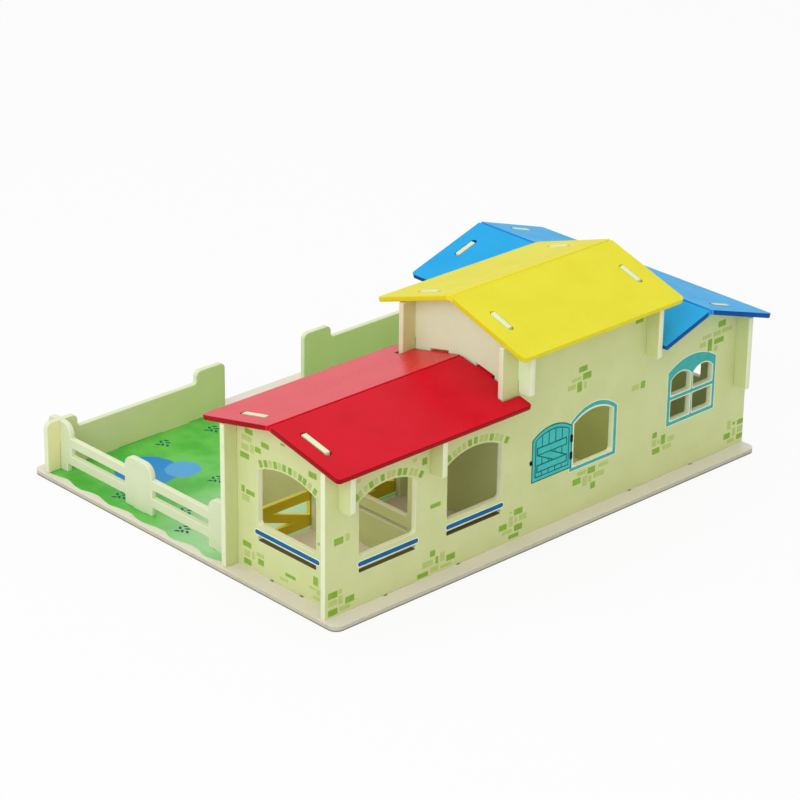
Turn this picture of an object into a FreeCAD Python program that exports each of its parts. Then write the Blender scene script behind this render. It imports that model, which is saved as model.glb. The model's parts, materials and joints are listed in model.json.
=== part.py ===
import FreeCAD, Part
import math
import os

os.makedirs("parts", exist_ok=True)

# A toy barn of boards that slot together on a base board. Plan places are measured from the
# front left corner of the base: x runs along the long front wall, y runs back to the yard, z is up.
# Every piece is moved at the end, so that the origin lies under the middle of the base.

# Boards, and the gaps between pieces
board = 6.2
roof_board = 5.0
lap_gap = 0.15
run_gap = 0.3
shortest_edge = 0.01

# Base board, and its margins outside the walls and fences
base_thickness = 5.0
base_corner_radius = 10.0
left_margin = 4.2
right_margin = 1.0
front_margin = 19.4
back_margin = 15.0

# Clear widths of the rooms along x, and clear depths along y
long_wall_left_end = 16.6
first_stall_width = 111.8
second_stall_width = 110.6
tall_room_width = 177.0
wing_width = 134.0
long_wall_right_end = 13.8
room_depth = 138.8
wing_reach = 138.4
yard_depth = 277.2

# Wall ends and ears
tall_wall_left_end = 21.2
yard_tall_left_end = 17.6
yard_wall_end = 11.0
yard_wall_end_drop = 10.2
ear_length = 17.4
ear_round = 3.5

# Roofs: overhangs are level distances. The long ridge lies a little behind the room's middle.
ridge_setback = 2.5
red_roof_degrees = 12.4
red_overhang = 20.7
red_gable_overhang = 18.2
red_end_gap = 1.6
red_strip_reach = 0.8
yellow_roof_degrees = 18.0
yellow_overhang = 26.1
yellow_left_overhang = 19.0
yellow_right_overhang = 20.5
blue_ridge_rise = 7.1
blue_roof_degrees = 17.8
blue_overhang = 25.3
blue_yard_overhang = 30.3
blue_front_overhang = 21.4
blue_back_overhang = 17.8
eave_corner_radius = 5.0
ridge_gap = 0.4
roof_wall_gap = 0.6

# Laps: how far below the wall's top a cross wall and a long wall swap, and how far the ear
# outside hangs below that
wall_over_window = 31.74
tall_wall_rise = 59.41
stall_lap_depth = 31.14
stall_ear_drop = 11.6
tall_lap_depth = 39.65
tall_left_ear_drop = 12.9
tall_right_ear_drop = 26.2
end_lap_depth = 46.7
end_ear_drop = 35.9

# Roof tabs: level distances of their near and far sides from the ridge. Each slot in a panel is
# longer than its tab by one length at the end near the ridge and another at the far end.
red_tab = (26.5, 59.5)
yellow_tab = (37.7, 62.2)
blue_tab = (30.8, 54.8)
red_end_tab = (21.0, 44.0)
tab_proud = 0.6
slot_side = 0.6
room_slot_ends = (2.2, 3.6)
wing_slot_ends = (3.6, 2.2)
end_tab_side = 1.2
end_tab_above = 1.6
end_tab_below = 1.0

# Stall windows, with a slit under their rail
first_window_inset = 20.0
second_window_inset = 17.0
stall_window_width = 74.0
gable_window_inset = 24.8
gable_window_width = 84.0
stall_window_sill = 57.5
stall_window_side = 58.5
stall_window_rise = 10.0
window_rail = 11.8
slit_height = 5.0
slit_corner = 1.6
window_corner = 4.0

# Small arched windows of the tall room and of the far end wall
small_window_width = 57.4
small_window_side = 47.5
small_window_rise = 9.2
tall_window_inset = 75.8
tall_window_sill = 58.5
end_window_inset = 39.9
end_window_sill = 70.0

# Window of four panes in the wing
pane_inset = 36.0
pane_width = 29.6
mullion = 3.8
low_pane_sill = 65.2
low_pane_height = 22.2
pane_rail = 6.0
high_pane_side = 17.4
high_pane_rise = 6.2
pane_corner = 2.0

# Stall doorways in the yard wall, and the gates that hang in the yard behind them
doorway_top = 55.4
doorway_corner = 6.0
gate_board = 5.0
gate_overlap = 4.0
gate_wall_gap = 1.0
gate_bottom = 8.6
gate_top = 48.0
gate_rail = 10.4
gate_brace = 9.6
gate_stile = 7.0
gate_post_radius = 3.0
gate_post_offset = 6.5
pivot_radius = 2.0
pivot_gap = 0.05
glue_gap = 0.05
pivot_low_z = 1.0
block_height = 7.0
block_width = 11.0
block_depth = 8.4
block_gap = 0.5

# Fences round the yard
fence_low_z = 47.0
fence_high_z = 61.0
fence_lap_z = 34.7
fence_round = 7.0
fence_fillet = 4.0
fence_stub = 10.2
fence_back_stub = 13.4
raised_length = 40.0
left_fence_length = 239.3
gateway_width = 113.5
side_fence_gap = 1.0
rail_fence_gap = 0.6
post_top = 60.4
post_round = 13.0
high_rail = (35.0, 45.4)
low_rail = (15.0, 25.6)
right_post_width = 38.8
middle_post_width = 43.2
end_post_inner = 17.8

# Feet: tabs under the walls and fences, in longer slots through the base
foot_length = 38.0
short_foot_length = 18.0
foot_slack = 3.0
foot_short = 0.4
yard_foot_inset = 15.8
front_foot_shares = (0.158, 0.324, 0.753, 0.916)
tall_foot_shares = (0.385, 0.78)
room_foot_share = 0.476
wing_foot_share = 0.567
wing_back_foot_shares = (0.261, 0.746)
fence_foot_shares = (0.31, 0.71)

# Plan places that follow from these sizes
long_wall_left = left_margin
gable_wall_x = long_wall_left + long_wall_left_end
gable_wall_face = gable_wall_x + board
partition_x = gable_wall_face + first_stall_width
partition_face = partition_x + board
tall_left_x = partition_face + second_stall_width
tall_left_face = tall_left_x + board
tall_right_x = tall_left_face + tall_room_width
tall_right_face = tall_right_x + board
end_wall_x = tall_right_face + wing_width
end_wall_face = end_wall_x + board
long_wall_right = end_wall_face + long_wall_right_end
base_length = long_wall_right + right_margin

front_wall_y = front_margin
front_wall_back = front_wall_y + board
yard_wall_y = front_wall_back + room_depth
yard_wall_back = yard_wall_y + board
wing_back_y = yard_wall_back + wing_reach
wing_back_end = wing_back_y + board
back_fence_y = yard_wall_back + yard_depth
back_fence_back = back_fence_y + board
base_depth = back_fence_back + back_margin

ridge_y = (front_wall_y + yard_wall_back) / 2 + ridge_setback
ridge_x = (tall_right_x + end_wall_face) / 2
ear_front = front_wall_y - ear_length
ear_back = yard_wall_back + ear_length
wing_ear_back = wing_back_end + ear_length
tall_wall_left = tall_left_x - tall_wall_left_end
yard_tall_left = tall_left_x - yard_tall_left_end

# Heights that follow from these sizes. Each ridge height is that of the panels' upper faces.
stall_window_top = stall_window_sill + stall_window_side + stall_window_rise
slit_high = stall_window_sill - window_rail
slit_low = slit_high - slit_height
low_pane_top = low_pane_sill + low_pane_height
high_pane_sill = low_pane_top + pane_rail
half_depth = ridge_y - front_wall_y
half_wing = ridge_x - tall_right_x
red_wall_top = stall_window_top + wall_over_window
yellow_wall_top = red_wall_top + tall_wall_rise
stall_lap_z = red_wall_top - stall_lap_depth
stall_ear_z = stall_lap_z - stall_ear_drop
tall_lap_z = yellow_wall_top - tall_lap_depth
tall_left_ear_z = tall_lap_z - tall_left_ear_drop
tall_right_ear_z = tall_lap_z - tall_right_ear_drop

first_window_left = gable_wall_face + first_window_inset
second_window_left = partition_face + second_window_inset
stall_window_lefts = (first_window_left, second_window_left)
gate_post_reach = stall_window_width + gate_post_offset
far_outside = 2 * base_length


def drop(degrees, run):
    """Fall of a roof over a level run."""
    return run * math.tan(math.radians(degrees))


def under_z(ridge_z, degrees, run):
    """Height just clear of a roof panel's underside, at a level distance from its ridge."""
    return ridge_z - roof_board / math.cos(math.radians(degrees)) - drop(degrees, run) - run_gap


def ridge_over(wall_top, degrees, run):
    """Height of the ridge over a wall that stands at a level distance from it."""
    return wall_top + roof_board / math.cos(math.radians(degrees)) + drop(degrees, run) + run_gap


def tab_z(ridge_z, degrees, run):
    """Height of the top of a roof tab, at a level distance from the ridge."""
    return ridge_z - drop(degrees, run) + tab_proud


def rounded_wire(corners, to_space):
    """Closed wire through corners (u, v, radius). A radius of zero leaves a corner sharp."""
    stretches = []
    for number, (u, v, radius) in enumerate(corners):
        corner = FreeCAD.Vector(u, v, 0)
        if not radius:
            stretches.append((corner, None, corner))
            continue
        before = corners[number - 1]
        after = corners[(number + 1) % len(corners)]
        back = (FreeCAD.Vector(before[0], before[1], 0) - corner).normalize()
        on = (FreeCAD.Vector(after[0], after[1], 0) - corner).normalize()
        half_angle = back.getAngle(on) / 2
        reach = radius / math.tan(half_angle)
        inward = (back + on).normalize()
        middle = corner + inward * (radius / math.sin(half_angle) - radius)
        stretches.append((corner + back * reach, middle, corner + on * reach))
    edges = []
    for number, (start, middle, end) in enumerate(stretches):
        following = stretches[(number + 1) % len(stretches)][0]
        if middle is not None:
            edges.append(Part.Arc(to_space(start), to_space(middle), to_space(end)).toShape())
        if end.distanceToPoint(following) > shortest_edge:
            edges.append(Part.makeLine(to_space(end), to_space(following)))
    return Part.Wire(edges)


def flat(z):
    """Maps an outline point (x, y) to this height."""
    return lambda point: FreeCAD.Vector(point.x, point.y, z)


def along_x(y):
    """Maps an outline point (x, z) to the upright plane at this y."""
    return lambda point: FreeCAD.Vector(point.x, y, point.y)


def along_y(x):
    """Maps an outline point (y, z) to the upright plane at this x."""
    return lambda point: FreeCAD.Vector(x, point.x, point.y)


def solid(corners, to_space, sweep):
    """Solid swept from a rounded outline."""
    return Part.Face(rounded_wire(corners, to_space)).extrude(sweep)


def board_x(corners, y, thickness=board):
    """Upright board along x, with its front face at y."""
    return solid(corners, along_x(y), FreeCAD.Vector(0, thickness, 0))


def board_y(corners, x, thickness=board):
    """Upright board along y, with its left face at x."""
    return solid(corners, along_y(x), FreeCAD.Vector(thickness, 0, 0))


def box(x, y, z):
    """Box from its low and high x, y and z."""
    size = [high - low for low, high in (x, y, z)]
    return Part.makeBox(*size, FreeCAD.Vector(x[0], y[0], z[0]))


def round_slot(x, y, z):
    """Upright slot with round ends, as long as its longer level side."""
    radius = min(x[1] - x[0], y[1] - y[0]) / 2
    corners = [
        (x[0], y[0], radius),
        (x[1], y[0], radius),
        (x[1], y[1], radius),
        (x[0], y[1], radius),
    ]
    return solid(corners, flat(z[0]), FreeCAD.Vector(0, 0, z[1] - z[0]))


def window(left, width, sill, side, rise, corner, place):
    """Cutter for an arched opening through a board. place maps its (u, z) outline to space."""
    to_space, sweep = place
    right = left + width
    spring = sill + side
    crown = spring + rise
    point = lambda u, v: to_space(FreeCAD.Vector(u, v, 0))
    diagonal = corner * (1 - math.sqrt(0.5))
    edges = [
        Part.makeLine(point(left, spring), point(left, sill + corner)),
        Part.Arc(
            point(left, sill + corner),
            point(left + diagonal, sill + diagonal),
            point(left + corner, sill),
        ).toShape(),
        Part.makeLine(point(left + corner, sill), point(right - corner, sill)),
        Part.Arc(
            point(right - corner, sill),
            point(right - diagonal, sill + diagonal),
            point(right, sill + corner),
        ).toShape(),
        Part.makeLine(point(right, sill + corner), point(right, spring)),
        Part.Arc(point(right, spring), point(left + width / 2, crown), point(left, spring)).toShape(),
    ]
    return Part.Face(Part.Wire(edges)).extrude(sweep)


def through_x(x):
    """Outline plane and sweep of a cutter through the board whose left face is at x."""
    return along_y(x - board), FreeCAD.Vector(3 * board, 0, 0)


def through_y(y):
    """Outline plane and sweep of a cutter through the board whose front face is at y."""
    return along_x(y - board), FreeCAD.Vector(0, 3 * board, 0)


def stall_window(left, width, place):
    """Cutters for a stall window and the slit under its rail."""
    arch = window(
        left, width, stall_window_sill, stall_window_side, stall_window_rise, window_corner, place
    )
    to_space, sweep = place
    slit = [
        (left, slit_low, slit_corner),
        (left + width, slit_low, slit_corner),
        (left + width, slit_high, slit_corner),
        (left, slit_high, slit_corner),
    ]
    return arch.fuse(solid(slit, to_space, sweep))


def cut_all(shape, cutters):
    """Shape with every cutter taken out of it."""
    for cutter in cutters:
        shape = shape.cut(cutter)
    return shape


def lap_from_top_x(x, lap_z, y):
    """Slot from the top of a long wall at y, for the cross wall at x."""
    return box(
        (x - lap_gap, x + board + lap_gap),
        (y - board, y + 2 * board),
        (lap_z - lap_gap, far_outside),
    )


def lap_from_below_y(y, lap_z, x):
    """Slot from the foot of a cross wall at x, for the long wall at y."""
    return box(
        (x - board, x + 2 * board),
        (y - lap_gap, y + board + lap_gap),
        (-far_outside, lap_z),
    )


def feet_x(y, centres, length=foot_length):
    """Tabs under a wall along x, and the base slots that take them."""
    tabs = [
        box((c - length / 2, c + length / 2), (y, y + board), (foot_short, base_thickness)) for c in centres
    ]
    reach = length / 2 + foot_slack
    slots = [
        round_slot(
            (c - reach, c + reach),
            (y - lap_gap, y + board + lap_gap),
            (-base_thickness, 2 * base_thickness),
        )
        for c in centres
    ]
    return tabs, slots


def feet_y(x, centres, length=foot_length):
    """Tabs under a wall along y, and the base slots that take them."""
    tabs = [
        box((x, x + board), (c - length / 2, c + length / 2), (foot_short, base_thickness)) for c in centres
    ]
    reach = length / 2 + foot_slack
    slots = [
        round_slot(
            (x - lap_gap, x + board + lap_gap),
            (c - reach, c + reach),
            (-base_thickness, 2 * base_thickness),
        )
        for c in centres
    ]
    return tabs, slots


def places(low, high, shares):
    """Places between low and high, at these shares of the way."""
    return [low + share * (high - low) for share in shares]


nodes = {}
base_slots = []


def add_wall(name, shape, feet):
    """Keeps a wall together with its foot tabs, and their slots for the base."""
    tabs, slots = feet
    nodes[name] = shape.multiFuse(tabs).removeSplitter()
    base_slots.extend(slots)


# Outlines of the walls

def front_ear(lap_z, ear_z, top_z):
    """Corners (y, z) from the inner foot of a cross wall, over its lap, round its ear, to the roof."""
    inner = front_wall_back + lap_gap
    outer = front_wall_y - lap_gap
    return [
        (inner, base_thickness, 0),
        (inner, lap_z, 0),
        (outer, lap_z, 0),
        (outer, ear_z, ear_round),
        (ear_front, ear_z, ear_round),
        (ear_front, top_z, 0),
    ]


def back_ear(wall_y, lap_z, ear_z, top_z):
    """Corners (y, z) from the roof, round the ear behind the wall at wall_y, to the inner foot."""
    inner = wall_y - lap_gap
    outer = wall_y + board + lap_gap
    end = wall_y + board + ear_length
    return [
        (end, top_z, 0),
        (end, ear_z, ear_round),
        (outer, ear_z, ear_round),
        (outer, lap_z, 0),
        (inner, lap_z, 0),
        (inner, base_thickness, 0),
    ]


def gable_y(ridge_z, degrees, lap_z, ear_z):
    """Outline of a cross wall that carries a roof whose ridge runs along x."""
    front = front_ear(lap_z, ear_z, under_z(ridge_z, degrees, ridge_y - ear_front))
    ridge = (ridge_y, under_z(ridge_z, degrees, 0), 0)
    back = back_ear(yard_wall_y, lap_z, ear_z, under_z(ridge_z, degrees, ear_back - ridge_y))
    return front + [ridge] + back


def roof_tabs_y(x, tab, ridge_z, degrees):
    """The two roof tabs on top of the cross wall at x."""
    near, far = tab
    tabs = []
    for side in (-1, 1):
        corners = [
            (ridge_y + side * near, under_z(ridge_z, degrees, near), 0),
            (ridge_y + side * near, tab_z(ridge_z, degrees, near), 0),
            (ridge_y + side * far, tab_z(ridge_z, degrees, far), 0),
            (ridge_y + side * far, under_z(ridge_z, degrees, far), 0),
        ]
        tabs.append(board_y(corners, x))
    return tabs


def roof_tabs_x(y, sides, tab, ridge_z, degrees):
    """Roof tabs on top of the wall at y, on these sides of a ridge along y."""
    near, far = tab
    tabs = []
    for side in sides:
        corners = [
            (ridge_x + side * near, under_z(ridge_z, degrees, near), 0),
            (ridge_x + side * near, tab_z(ridge_z, degrees, near), 0),
            (ridge_x + side * far, tab_z(ridge_z, degrees, far), 0),
            (ridge_x + side * far, under_z(ridge_z, degrees, far), 0),
        ]
        tabs.append(board_x(corners, y))
    return tabs


red_ridge_z = ridge_over(red_wall_top, red_roof_degrees, half_depth)
yellow_ridge_z = ridge_over(yellow_wall_top, yellow_roof_degrees, half_depth)
blue_ridge_z = red_ridge_z + blue_ridge_rise
blue_peak = under_z(blue_ridge_z, blue_roof_degrees, 0)
wing_side_top = under_z(blue_ridge_z, blue_roof_degrees, half_wing)
end_lap_z = wing_side_top - end_lap_depth
end_ear_z = end_lap_z - end_ear_drop


def tall_part(tall_left, low_top, high_top, end_corners):
    """Corners (x, z) of a long wall, from its left foot up to the tall right wall and on."""
    step = tall_right_x - lap_gap
    return [
        (long_wall_left, base_thickness, 0),
        (long_wall_left, low_top, 0),
        (tall_left, low_top, 0),
        (tall_left, high_top, 0),
        (step, high_top, 0),
        (step, tall_lap_z - lap_gap, 0),
        (tall_right_face, tall_lap_z - lap_gap, 0),
    ] + end_corners


# Front wall, with two stall windows, an arched window and a window of four panes
front_right_z = under_z(blue_ridge_z, blue_roof_degrees, long_wall_right - ridge_x)
front_wall = board_x(
    tall_part(
        tall_wall_left,
        red_wall_top,
        yellow_wall_top,
        [
            (tall_right_face, under_z(blue_ridge_z, blue_roof_degrees, ridge_x - tall_right_face), 0),
            (ridge_x, blue_peak, 0),
            (long_wall_right, front_right_z, 0),
            (long_wall_right, base_thickness, 0),
        ],
    ),
    front_wall_y,
)
front_wall = front_wall.multiFuse(roof_tabs_x(front_wall_y, (1,), blue_tab, blue_ridge_z, blue_roof_degrees))
through_front = through_y(front_wall_y)
front_cutters = [
    stall_window(first_window_left, stall_window_width, through_front),
    stall_window(second_window_left, stall_window_width, through_front),
    window(
        tall_left_face + tall_window_inset,
        small_window_width,
        tall_window_sill,
        small_window_side,
        small_window_rise,
        window_corner,
        through_front,
    ),
    lap_from_top_x(gable_wall_x, stall_lap_z, front_wall_y),
    lap_from_top_x(partition_x, stall_lap_z, front_wall_y),
    lap_from_top_x(tall_left_x, tall_lap_z, front_wall_y),
    lap_from_top_x(end_wall_x, end_lap_z, front_wall_y),
]
first_pane_left = tall_right_face + pane_inset
for left in (first_pane_left, first_pane_left + pane_width + mullion):
    right = left + pane_width
    low_pane = [
        (left, low_pane_sill, pane_corner),
        (right, low_pane_sill, pane_corner),
        (right, low_pane_top, pane_corner),
        (left, low_pane_top, pane_corner),
    ]
    front_cutters.append(solid(low_pane, *through_front))
    front_cutters.append(
        window(left, pane_width, high_pane_sill, high_pane_side, high_pane_rise, pane_corner, through_front)
    )
front_feet = places(long_wall_left, long_wall_right, front_foot_shares)
add_wall("front_wall", cut_all(front_wall, front_cutters), feet_x(front_wall_y, front_feet))

# Yard wall, with two low doorways from the stalls. It stands nearer the ridge, so it is taller.
yard_wall_end_z = wing_side_top - yard_wall_end_drop
yard_wall = board_x(
    tall_part(
        yard_tall_left,
        red_wall_top + drop(red_roof_degrees, 2 * ridge_setback),
        yellow_wall_top + drop(yellow_roof_degrees, 2 * ridge_setback),
        [
            (tall_right_face, yard_wall_end_z, 0),
            (tall_right_face + yard_wall_end, yard_wall_end_z, ear_round),
            (tall_right_face + yard_wall_end, base_thickness, 0),
        ],
    ),
    yard_wall_y,
)
doorways = []
for left in stall_window_lefts:
    corners = [
        (left, -base_thickness, 0),
        (left + stall_window_width, -base_thickness, 0),
        (left + stall_window_width, doorway_top, doorway_corner),
        (left, doorway_top, doorway_corner),
    ]
    doorways.append(solid(corners, *through_y(yard_wall_y)))
yard_cutters = doorways + [
    lap_from_top_x(gable_wall_x, stall_lap_z, yard_wall_y),
    lap_from_top_x(partition_x, stall_lap_z, yard_wall_y),
    lap_from_top_x(tall_left_x, tall_lap_z, yard_wall_y),
]
yard_wall = cut_all(yard_wall, yard_cutters)
first_pivot_edge = first_window_left + gate_post_reach + pivot_radius + pivot_gap
pier_foot = (first_pivot_edge + second_window_left) / 2
short_feet = (long_wall_left + yard_foot_inset, pier_foot)
long_tabs, long_slots = feet_x(yard_wall_y, places(tall_left_face, tall_right_x, tall_foot_shares))
short_tabs, short_slots = feet_x(yard_wall_y, short_feet, short_foot_length)
add_wall("yard_wall", yard_wall, (long_tabs + short_tabs, long_slots + short_slots))

# Gable wall at the left end and the partition between the stalls
room_feet = places(front_wall_back, yard_wall_y, (room_foot_share,))
wing_feet = room_feet + places(yard_wall_back, wing_back_y, (wing_foot_share,))
for name, x in (("gable_wall", gable_wall_x), ("stall_partition", partition_x)):
    wall = board_y(gable_y(red_ridge_z, red_roof_degrees, stall_lap_z, stall_ear_z), x)
    wall = wall.cut(stall_window(front_wall_back + gable_window_inset, gable_window_width, through_x(x)))
    if x == gable_wall_x:
        wall = wall.multiFuse(roof_tabs_y(x, red_tab, red_ridge_z, red_roof_degrees))
    add_wall(name, wall, feet_y(x, room_feet))

# Left wall of the tall part, with sloping slots for the end tabs of the red panels
tall_left = board_y(gable_y(yellow_ridge_z, yellow_roof_degrees, tall_lap_z, tall_left_ear_z), tall_left_x)
near, far = red_end_tab
for side in (-1, 1):
    low = under_z(red_ridge_z, red_roof_degrees, 0) + run_gap - end_tab_below
    high = red_ridge_z + end_tab_above
    corners = [
        (ridge_y + side * (near - end_tab_side), low - drop(red_roof_degrees, near - end_tab_side), 0),
        (ridge_y + side * (near - end_tab_side), high - drop(red_roof_degrees, near - end_tab_side), 0),
        (ridge_y + side * (far + end_tab_side), high - drop(red_roof_degrees, far + end_tab_side), 0),
        (ridge_y + side * (far + end_tab_side), low - drop(red_roof_degrees, far + end_tab_side), 0),
    ]
    tall_left = tall_left.cut(solid(corners, *through_x(tall_left_x)))
tall_left = tall_left.multiFuse(roof_tabs_y(tall_left_x, yellow_tab, yellow_ridge_z, yellow_roof_degrees))
add_wall("tall_left_wall", tall_left, feet_y(tall_left_x, room_feet))

# Right wall of the tall part, which runs on as the yard side of the wing
front_eave_z = under_z(yellow_ridge_z, yellow_roof_degrees, ridge_y - ear_front)
back_eave_z = under_z(yellow_ridge_z, yellow_roof_degrees, ear_back - ridge_y)
tall_right_outline = (
    front_ear(tall_lap_z, tall_right_ear_z, front_eave_z)
    + [(ridge_y, under_z(yellow_ridge_z, yellow_roof_degrees, 0), 0)]
    + [(ear_back, back_eave_z, 0), (ear_back, wing_side_top, 0)]
    + back_ear(wing_back_y, end_lap_z, end_ear_z, wing_side_top)
)
tall_right = board_y(tall_right_outline, tall_right_x)
tall_right = tall_right.cut(lap_from_below_y(yard_wall_y, tall_lap_z, tall_right_x))
tall_right = tall_right.multiFuse(roof_tabs_y(tall_right_x, yellow_tab, yellow_ridge_z, yellow_roof_degrees))
add_wall("tall_right_wall", tall_right, feet_y(tall_right_x, wing_feet))

# End wall of the wing, with an arched window
end_wall = board_y(
    front_ear(end_lap_z, end_ear_z, wing_side_top)
    + back_ear(wing_back_y, end_lap_z, end_ear_z, wing_side_top),
    end_wall_x,
)
end_wall = end_wall.cut(
    window(
        front_wall_back + end_window_inset,
        small_window_width,
        end_window_sill,
        small_window_side,
        small_window_rise,
        window_corner,
        through_x(end_wall_x),
    )
)
add_wall("wing_end_wall", end_wall, feet_y(end_wall_x, wing_feet))

# Back gable of the wing
wing_back_left = tall_right_x - ear_length
wing_back_right = end_wall_face + ear_length
wing_back_eave_z = under_z(blue_ridge_z, blue_roof_degrees, ridge_x - wing_back_left)
wing_back = board_x(
    [
        (wing_back_left, base_thickness, 0),
        (wing_back_left, wing_back_eave_z, 0),
        (ridge_x, blue_peak, 0),
        (wing_back_right, wing_back_eave_z, 0),
        (wing_back_right, base_thickness, 0),
    ],
    wing_back_y,
)
wing_back = wing_back.multiFuse(roof_tabs_x(wing_back_y, (-1, 1), blue_tab, blue_ridge_z, blue_roof_degrees))
wing_back = cut_all(
    wing_back,
    [
        lap_from_top_x(tall_right_x, end_lap_z, wing_back_y),
        lap_from_top_x(end_wall_x, end_lap_z, wing_back_y),
    ],
)
wing_back_feet = places(tall_right_face, end_wall_x, wing_back_foot_shares)
add_wall("wing_back_wall", wing_back, feet_x(wing_back_y, wing_back_feet))

# Rail fence on the left side of the yard: three posts and two rails cut from one board
right_post = (yard_wall_back + rail_fence_gap, yard_wall_back + rail_fence_gap + right_post_width)
left_post = (back_fence_y - end_post_inner, back_fence_back + fence_back_stub)
bay_length = (left_post[0] - right_post[1] - middle_post_width) / 2
middle_post = (right_post[1] + bay_length, left_post[0] - bay_length)
rail_fence = board_y(
    [
        (right_post[0], base_thickness, 0),
        (right_post[0], post_top, post_round),
        (right_post[1], post_top, post_round),
        (right_post[1], high_rail[1], 0),
        (middle_post[0], high_rail[1], 0),
        (middle_post[0], post_top, post_round),
        (middle_post[1], post_top, post_round),
        (middle_post[1], high_rail[1], 0),
        (left_post[0], high_rail[1], 0),
        (left_post[0], fence_high_z, post_round),
        (left_post[1], fence_high_z, fence_round),
        (left_post[1], base_thickness, 0),
        (left_post[0] + fence_round, base_thickness, 0),
        (left_post[0] + fence_round, low_rail[0], 0),
        (middle_post[1], low_rail[0], 0),
        (middle_post[1], base_thickness, 0),
        (middle_post[0], base_thickness, 0),
        (middle_post[0], low_rail[0], 0),
        (right_post[1], low_rail[0], 0),
        (right_post[1], base_thickness, 0),
    ],
    gable_wall_x,
)
for bay in ((right_post[1], middle_post[0]), (middle_post[1], left_post[0])):
    across = (gable_wall_x - board, gable_wall_x + 2 * board)
    rail_fence = rail_fence.cut(box(across, bay, (low_rail[1], high_rail[0])))
corner_slot = box(
    (gable_wall_x - board, gable_wall_x + 2 * board),
    (back_fence_y - lap_gap, back_fence_back + lap_gap),
    (fence_lap_z - lap_gap, far_outside),
)
rail_fence = rail_fence.cut(corner_slot)
post_middles = [sum(post) / 2 for post in (right_post, middle_post)]
add_wall("rail_fence", rail_fence, feet_y(gable_wall_x, post_middles, short_foot_length))


def raised_end(outer, inner, rising):
    """Corners (u, z) of a fence's raised end, from its outer foot or towards it."""
    corners = [
        (outer, base_thickness, 0),
        (outer, fence_high_z, fence_round),
        (inner, fence_high_z, fence_round),
        (inner, fence_low_z, fence_fillet),
    ]
    return corners if rising else corners[::-1]


def lap_from_below_x(x, y):
    """Slot from the foot of the back fence, for the fence along y at x."""
    return box(
        (x - lap_gap, x + board + lap_gap),
        (y - board, y + 2 * board),
        (-far_outside, fence_lap_z),
    )


# Back fence, left and right of the gateway
gateway_left = long_wall_left + left_fence_length
gateway_right = gateway_left + gateway_width
back_fence = board_x(
    raised_end(long_wall_left, long_wall_left + raised_length, True)
    + raised_end(gateway_left, gateway_left - raised_length, False),
    back_fence_y,
)
back_fence = back_fence.cut(lap_from_below_x(gable_wall_x, back_fence_y))
back_fence_feet = places(long_wall_left, gateway_left, fence_foot_shares)
add_wall("back_fence_left", back_fence, feet_x(back_fence_y, back_fence_feet))

fence_right_end = end_wall_face + fence_stub
gateway_fence = board_x(
    raised_end(gateway_right, gateway_right + raised_length, True)
    + raised_end(fence_right_end, fence_right_end - raised_length, False),
    back_fence_y,
)
gateway_fence = gateway_fence.cut(lap_from_below_x(end_wall_x, back_fence_y))
gateway_fence_feet = places(gateway_right, fence_right_end, fence_foot_shares)
add_wall("back_fence_right", gateway_fence, feet_x(back_fence_y, gateway_fence_feet))

# Side fence behind the wing
side_fence_start = wing_ear_back + side_fence_gap
side_fence = board_y(
    [
        (side_fence_start, base_thickness, 0),
        (side_fence_start, fence_low_z, fence_fillet),
        (left_post[0], fence_low_z, fence_fillet),
        (left_post[0], fence_high_z, fence_round),
        (left_post[1], fence_high_z, fence_round),
        (left_post[1], base_thickness, 0),
    ],
    end_wall_x,
)
side_slot = box(
    (end_wall_x - board, end_wall_x + 2 * board),
    (back_fence_y - lap_gap, back_fence_back + lap_gap),
    (fence_lap_z - lap_gap, far_outside),
)
side_fence = side_fence.cut(side_slot)
side_fence_middle = (side_fence_start + left_post[0]) / 2
add_wall("side_fence", side_fence, feet_y(end_wall_x, [side_fence_middle]))

# Roof panels


def ridge_start(degrees):
    """Level run at which a panel's upper face begins, so that its square edge ends at the ridge."""
    return ridge_gap / 2 + roof_board * math.sin(math.radians(degrees))


def panel(corners, ridge_point, along, down, slots):
    """Roof panel with upright slots, from an outline (distance along the ridge, level run from it)."""
    level_length = math.hypot(down.x, down.y)
    normal = along.cross(down)
    if normal.z < 0:
        normal = -normal
    to_space = lambda point: ridge_point + along * point.x + down * (point.y / level_length)
    shape = solid(corners, to_space, normal * -roof_board)
    return cut_all(shape, slots)


def down_vector(degrees, x_side, y_side):
    """Direction down a slope that faces the given side."""
    angle = math.radians(degrees)
    return FreeCAD.Vector(x_side * math.cos(angle), y_side * math.cos(angle), -math.sin(angle))


def slot_ends(ridge, side, tab, extra):
    """Low and high end of the slot over a roof tab, longer than the tab at its near and far end."""
    near, far = tab
    near_extra, far_extra = extra
    return sorted((ridge + side * (near - near_extra), ridge + side * (far + far_extra)))


def tab_slot_y(x, side, tab):
    """Upright slot in a panel over a roof tab of the cross wall at x."""
    along = slot_ends(ridge_y, side, tab, room_slot_ends)
    return round_slot((x - slot_side, x + board + slot_side), along, (base_thickness, far_outside))


def tab_slot_x(y, side):
    """Upright slot in a blue panel over a roof tab of the wall at y."""
    along = slot_ends(ridge_x, side, blue_tab, wing_slot_ends)
    return round_slot(along, (y - slot_side, y + board + slot_side), (base_thickness, far_outside))


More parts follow.
